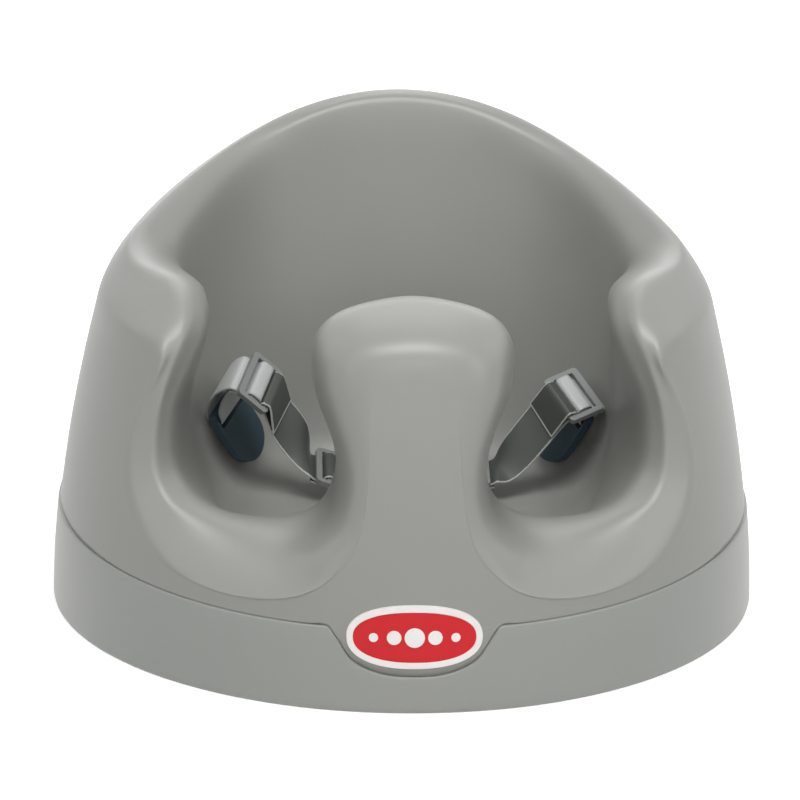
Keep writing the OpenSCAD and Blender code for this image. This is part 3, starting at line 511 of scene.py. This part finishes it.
def flowing(node, name, crisp):
    """A flowing form. Edges that turn by more than crisp degrees are creased, below by fewer."""
    bm = merged(node)
    bmesh.ops.join_triangles(bm, faces=bm.faces, angle_face_threshold=math.pi,
                             angle_shape_threshold=math.pi)
    crease = bm.edges.layers.float.new("crease_edge")
    for e in bm.edges:
        underneath = all(v.co.z < underside_height for v in e.verts)
        limit = min(crisp_underneath, crisp) if underneath else crisp
        if len(e.link_faces) == 2 and e.calc_face_angle() > math.radians(limit):
            e[crease] = crease_strength
    triangles = sum(len(f.verts) == 3 for f in bm.faces)
    creased = sum(e[crease] > 0 for e in bm.edges)
    print(node, "faces", len(bm.faces), "triangles left", triangles, "creased", creased)
    piece = make_piece(bm, node, name, smooth=180)
    finer = piece.modifiers.new("finer", "SUBSURF")
    finer.levels = finer.render_levels = subdivision_levels
    hold_shape(piece)
    return piece

foam = flowing("seat_body", "foam_seat", crisp=60)
flowing("base_ring", "base_shell", crisp=30)

# %% [markdown]
# ## Fittings
# The edges of injection-moulded fittings are rounded by a few tenths of a millimetre. These edges
# catch the light, and they tell the eye how small the fitting is. A bevel on every sharp edge does
# it in one step, once the triangles of each flat face are dissolved into one face. Weighted
# normals then keep the flat faces flat between the bevels.

# %% Rounded fittings
flat_within = math.radians(0.4)
sharp_from = math.radians(35)
bevel_steps = 2

def rounded(node, name, radius):
    """A fitting with its sharp edges rounded by a radius in millimetres."""
    bm = merged(node)
    bmesh.ops.dissolve_limit(bm, angle_limit=flat_within, verts=bm.verts, edges=bm.edges,
                             use_dissolve_boundaries=False)
    sharp = [e for e in bm.edges if len(e.link_faces) == 2 and e.calc_face_angle() > sharp_from]
    bmesh.ops.bevel(bm, geom=sharp, offset=radius * mm, offset_type="OFFSET", segments=bevel_steps,
                    profile=0.5, affect="EDGES", clamp_overlap=True, material=-1)
    bmesh.ops.remove_doubles(bm, verts=bm.verts, dist=merge_gap)
    piece = make_piece(bm, node, name)
    flat = piece.modifiers.new("flat_faces_stay_flat", "WEIGHTED_NORMAL")
    flat.keep_sharp = True

for side in ("left", "right"):
    rounded("anchor_" + side, "anchor_plate_" + side, radius=0.6)
    rounded("adjuster_" + side, "strap_adjuster_" + side, radius=0.5)
    rounded("tongue_" + side, "buckle_tongue_" + side, radius=0.4)
rounded("buckle_front_cover", "buckle_front", radius=0.5)
rounded("buckle_rear_cover", "buckle_rear", radius=0.4)
rounded("release_button", "press_button", radius=0.6)
rounded("crotch_anchor", "crotch_anchor_plate", radius=0.4)
rounded("badge_plate", "badge_oval", radius=0.35)
rounded("badge_field", "badge_inlay", radius=0.12)
rounded("badge_dots", "badge_studs", radius=0.2)
for end in ("front_left", "front_right", "rear_left", "rear_right"):
    rounded("foot_pad_" + end, "foot_" + end, radius=0.5)

# %% [markdown]
# ## Spring of the release button
# The spring stands on the rear cover, and the button presses its other end down. It can't ride on
# both, so here it rides on the body of its node, and its foot is found along the button's travel.

# %% Spring
spring = make_piece(merged("button_spring"), "button_spring", "coil_spring", smooth=60)
press = next(j for j in frame["joints"] if j["name"] == "release_button_press")
inwards = Vector(press["axis"])
depths = [v.co.dot(inwards) for v in spring.data.vertices]
foot = Vector(press["pos_m"])
foot += inwards * (max(depths) - foot.dot(inwards))
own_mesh(spring)

# %% [markdown]
# ## Webbing
# Webbing is a flat woven band, 25 mm wide. The CAD band has a plain rectangle as its section. The
# band could be drawn along a curve, but then its twists through the slots would be lost. So the
# rings of the CAD band are read back from the node, run together more finely, and drawn again
# with a section whose edges are round.

# %% Rings of a CAD band
web_w, web_t = 25 * mm, 1.2 * mm
length_slack = 0.004 * mm

def ring_corners(bm):
    """The four corners of each ring: two edges across the band, joined by two through it."""
    wide = [e for e in bm.edges if abs(e.calc_length() - web_w) < length_slack]
    thin = {frozenset(v.index for v in e.verts) for e in bm.edges
            if abs(e.calc_length() - web_t) < length_slack}
    found = []
    for i, a in enumerate(wide):
        for b in wide[i + 1:]:
            for p, q in ((b.verts[0], b.verts[1]), (b.verts[1], b.verts[0])):
                ties = {frozenset((a.verts[0].index, p.index)), frozenset((a.verts[1].index, q.index))}
                if ties <= thin:
                    found.append((a.verts[0], a.verts[1], q, p))
    return found

def ring_order(bm, found):
    """The rings in order along the band, from its upper end if it has one, and if it is a loop."""
    ring_of = {v.index: i for i, r in enumerate(found) for v in r}
    near = [set() for _ in found]
    for e in bm.edges:
        i, j = ring_of[e.verts[0].index], ring_of[e.verts[1].index]
        if i != j:
            near[i].add(j)
            near[j].add(i)
    ends = [i for i, n in enumerate(near) if len(n) == 1]
    order = []
    here = min(ends, key=lambda i: -found[i][0].co.z) if ends else 0
    while here is not None:
        order.append(here)
        here = next((j for j in sorted(near[here]) if j not in order), None)
    return order, not ends

def rings(node):
    """Middle, half width and half thickness of each ring of a band, in order, and if it is a loop."""
    bm = merged(node)
    found = ring_corners(bm)
    order, loop = ring_order(bm, found)
    places = []
    for i in order:
        a, b, c, d = (v.co.copy() for v in found[i])
        centre, half, thick = (a + b + c + d) / 4, (b - a) / 2, (d - a) / 2
        if places:
            half = half if half.dot(places[-1][1]) > 0 else -half
            thick = thick if thick.dot(places[-1][2]) > 0 else -thick
        places.append((centre, half, thick))
    bm.free()
    return places, loop

for node in ("anchor_loop_left", "lap_strap_left", "crotch_strap"):
    places, loop = rings(node)
    print(node, "rings", len(places), "loop", loop)

# %% Finer rings
steps_between = 3

def curve_point(p, t):
    """Point on the smooth curve from p[1] to p[2]."""
    return 0.5 * (2 * p[1] + (p[2] - p[0]) * t + (2 * p[0] - 5 * p[1] + 4 * p[2] - p[3]) * t * t
                  + (3 * p[1] - p[0] - 3 * p[2] + p[3]) * t ** 3)

def finer_rings(places, loop):
    n = len(places)
    pick = (lambda i: places[i % n]) if loop else (lambda i: places[min(n - 1, max(0, i))])
    out = []
    for i in range(n if loop else n - 1):
        for k in range(steps_between):
            m, h, t = (curve_point([pick(i + j)[c] for j in (-1, 0, 1, 2)], k / steps_between)
                       for c in range(3))
            h = h.normalized() * web_w / 2
            t = (t - t.project(h)).normalized() * web_t / 2
            out.append((m, h, t))
    return out if loop else out + [places[-1]]

# One face of the band and its round selvedges, as shares of half its width and half its thickness
half_section = [(-1, 0), (-0.994, 0.5), (-0.975, 0.86), (-0.94, 1), (-0.6, 1), (-0.2, 1),
                (0.2, 1), (0.6, 1), (0.94, 1), (0.975, 0.86), (0.994, 0.5)]
section = half_section + [(-a, -b) for a, b in half_section]
print("section of the webbing:", len(section), "points")

# %% Drawing a band along its rings
def map_in_mm(bm, all_rings, run, whole):
    """Writes u across the band and v along it, in mm. On a loop the last faces end at the whole."""
    uv = bm.loops.layers.uv["band"]
    at = {v: (section[i][0] * web_w / 2 / mm, run[k]) for k, r in enumerate(all_rings)
          for i, v in enumerate(r)}
    for f in bm.faces:
        along = [at[corner.vert][1] for corner in f.loops]
        wraps = whole and max(along) - min(along) > whole / 2
        for corner in f.loops:
            a, b = at[corner.vert]
            corner[uv].uv = (a, b + (whole if wraps and b < whole / 2 else 0))

def band(node, name, rides=True):
    places, loop = rings(node)
    places = finer_rings(places, loop)
    bm = bmesh.new()
    bm.loops.layers.uv.new("band")
    first = [bm.verts.new(places[0][0] + a * places[0][1] + b * places[0][2]) for a, b in section]
    edges = [bm.edges.new((v, first[(i + 1) % len(first)])) for i, v in enumerate(first)]
    all_rings, run = [first], [0.0]
    for k, (m, h, t) in enumerate(places[1:], 1):
        made = bmesh.ops.extrude_edge_only(bm, edges=edges)["geom"]
        new = [g for g in made if isinstance(g, bmesh.types.BMVert)]
        edges = [g for g in made if isinstance(g, bmesh.types.BMEdge)
                 and all(v in new for v in g.verts)]
        ordered = [next(e.other_vert(v) for e in v.link_edges if e.other_vert(v) in new)
                   for v in all_rings[-1]]
        for v, (a, b) in zip(ordered, section):
            v.co = m + a * h + b * t
        all_rings.append(ordered)
        run.append(run[-1] + (m - places[k - 1][0]).length / mm)
    open_edges = [e for e in bm.edges if len(e.link_faces) == 1]
    if loop:
        bmesh.ops.bridge_loops(bm, edges=open_edges)
    else:
        bmesh.ops.holes_fill(bm, edges=open_edges, sides=0)
    bmesh.ops.recalc_face_normals(bm, faces=bm.faces)
    whole = run[-1] + (places[0][0] - places[-1][0]).length / mm
    map_in_mm(bm, all_rings, run, whole if loop else 0)
    piece = make_piece(bm, node, name, smooth=60, rides=rides)
    print(name, "length", round(whole if loop else run[-1]), "mm, faces", len(piece.data.polygons))
    return piece

print("rings drawn for each ring of the CAD band:", steps_between)

# %% [markdown]
# ## Lap straps, anchor loops and crotch strap
# Each anchor carries a short closed loop of webbing with the adjuster in it. From the adjuster a
# lap strap runs to the tongue. Its one end stays with the seat and the other slides out with the
# tongue, so it rides on neither and stays where the frame puts it. The crotch strap holds the
# buckle down to the floor of the bucket and doesn't move.

# %% All bands
def middle(node):
    low, high = (Vector(c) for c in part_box(node))
    return (low + high) / 2

for side, outer in (("left", 0), ("right", 1)):
    band("anchor_loop_" + side, "anchor_webbing_" + side)
    lap = band("lap_strap_" + side, "lap_webbing_" + side, rides=False)
    adjuster, frame_end = middle("adjuster_" + side), middle("tongue_" + side)
    frame_end.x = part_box("tongue_" + side)[outer][0]
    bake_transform(lap)
band("crotch_strap", "crotch_webbing")

# %% [markdown]
# ## Pieces that keep their CAD shape
# The closing plate with its ribs, the screws, their bushes and the sleeves of the anchors are
# right in shape as they are, and most of them are out of sight. They only get their finish.

# %% Finish of the remaining nodes
for node, piece in nodes.items():
    if not piece.hide_render:
        piece.data.materials.clear()
        piece.data.materials.append(finishes[slot_of_node[node]])
        print(node, "keeps its shape, finish", slot_of_node[node])
